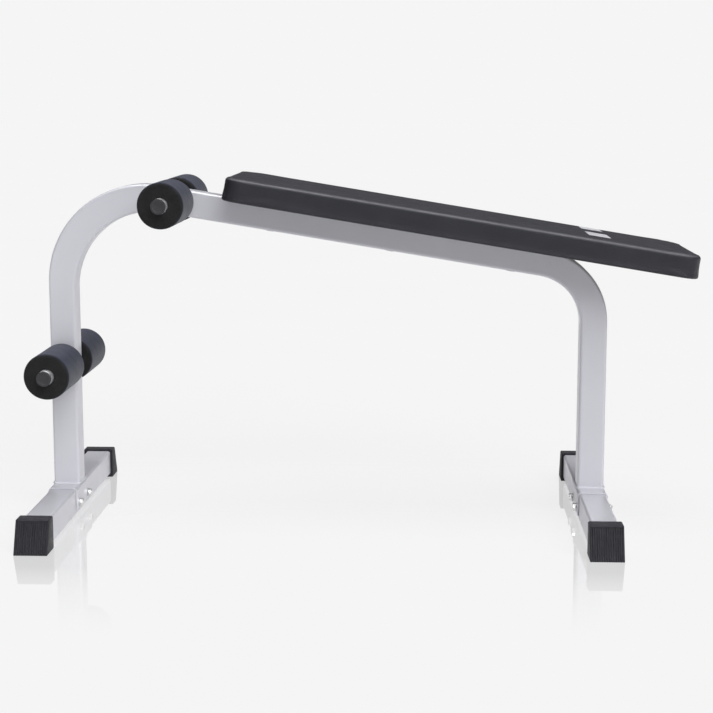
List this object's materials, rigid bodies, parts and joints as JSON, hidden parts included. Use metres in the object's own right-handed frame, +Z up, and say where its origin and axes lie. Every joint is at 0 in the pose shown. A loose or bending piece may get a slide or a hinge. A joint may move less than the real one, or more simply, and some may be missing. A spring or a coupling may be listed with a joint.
{
  "type": "sit-up bench",
  "caption": "Fixed sloping sit-up bench: a padded board on one bent square tube, with cross feet and foam rollers on two rods for the ankles and knees.",
  "frame": {"origin": "on the floor, under the middle of the bench's bounding box", "axes": "+X along the bench from the roller end to the low end of the padded board, +Y across it, +Z up"},
  "size_m": [1.2346, 0.6726, 0.654],
  "materials": {
    "silver_paint": "satin silver-grey powder coat",
    "zinc_plate": "bright zinc plate",
    "bright_rod": "bright plated steel tube",
    "foot_rubber": "moulded black rubber with upright ribs",
    "roller_foam": "dark closed-cell foam with a skin",
    "dark_plastic": "moulded dark plastic",
    "pale_nylon": "moulded nylon",
    "pad_vinyl": "dark charcoal vinyl with a fine grain",
    "pad_filling": "open-cell polyurethane foam",
    "plywood": "plywood with a dark stain"
  },
  "bodies": {
    "bench": {"pad_cover": "pad_vinyl", "pad_foam": "pad_filling", "pad_board": "plywood", "pad_bolt_1": "zinc_plate", "pad_washer_1": "zinc_plate", "pad_tee_nut_1": "zinc_plate", "access_plug_1": "dark_plastic", "pad_bolt_2": "zinc_plate", "pad_washer_2": "zinc_plate", "pad_tee_nut_2": "zinc_plate", "access_plug_2": "dark_plastic", "pad_bolt_3": "zinc_plate", "pad_washer_3": "zinc_plate", "pad_tee_nut_3": "zinc_plate", "access_plug_3": "dark_plastic", "main_frame_tube": "silver_paint", "left_cross_foot": "silver_paint", "left_saddle": "silver_paint", "left_rear_foot_cap": "foot_rubber", "left_front_foot_cap": "foot_rubber", "left_front_foot_bolt": "zinc_plate", "left_front_foot_head_washer": "zinc_plate", "left_front_foot_nut_washer": "zinc_plate", "left_front_foot_nut": "zinc_plate", "left_rear_foot_bolt": "zinc_plate", "left_rear_foot_head_washer": "zinc_plate", "left_rear_foot_nut_washer": "zinc_plate", "left_rear_foot_nut": "zinc_plate", "right_cross_foot": "silver_paint", "right_saddle": "silver_paint", "right_rear_foot_cap": "foot_rubber", "right_front_foot_cap": "foot_rubber", "right_front_foot_bolt": "zinc_plate", "right_front_foot_head_washer": "zinc_plate", "right_front_foot_nut_washer": "zinc_plate", "right_front_foot_nut": "zinc_plate", "right_rear_foot_bolt": "zinc_plate", "right_rear_foot_head_washer": "zinc_plate", "right_rear_foot_nut_washer": "zinc_plate", "right_rear_foot_nut": "zinc_plate", "upper_roller_rod": "bright_rod", "upper_rod_screw": "zinc_plate", "upper_rear_rod_bush": "pale_nylon", "upper_rear_rod_plug": "dark_plastic", "upper_front_rod_bush": "pale_nylon", "upper_front_rod_plug": "dark_plastic", "lower_roller_rod": "bright_rod", "lower_rod_screw": "zinc_plate", "lower_rear_rod_bush": "pale_nylon", "lower_rear_rod_plug": "dark_plastic", "lower_front_rod_bush": "pale_nylon", "lower_front_rod_plug": "dark_plastic"},
    "upper_rear_roller": {"upper_rear_roller": "roller_foam"},
    "upper_front_roller": {"upper_front_roller": "roller_foam"},
    "lower_rear_roller": {"lower_rear_roller": "roller_foam"},
    "lower_front_roller": {"lower_front_roller": "roller_foam"}
  },
  "joints": [
    {"name": "upper_rear_roller_spin", "type": "hinge", "parent": "bench", "child": "upper_rear_roller", "pos_m": [-0.36068, 0.106, 0.60293], "axis": [0, 1, 0], "continuous": true},
    {"name": "upper_front_roller_spin", "type": "hinge", "parent": "bench", "child": "upper_front_roller", "pos_m": [-0.36068, -0.106, 0.60293], "axis": [0, 1, 0], "continuous": true},
    {"name": "lower_rear_roller_spin", "type": "hinge", "parent": "bench", "child": "lower_rear_roller", "pos_m": [-0.57483, 0.106, 0.291], "axis": [0, 1, 0], "continuous": true},
    {"name": "lower_front_roller_spin", "type": "hinge", "parent": "bench", "child": "lower_front_roller", "pos_m": [-0.57483, -0.106, 0.291], "axis": [0, 1, 0], "continuous": true}
  ]
}
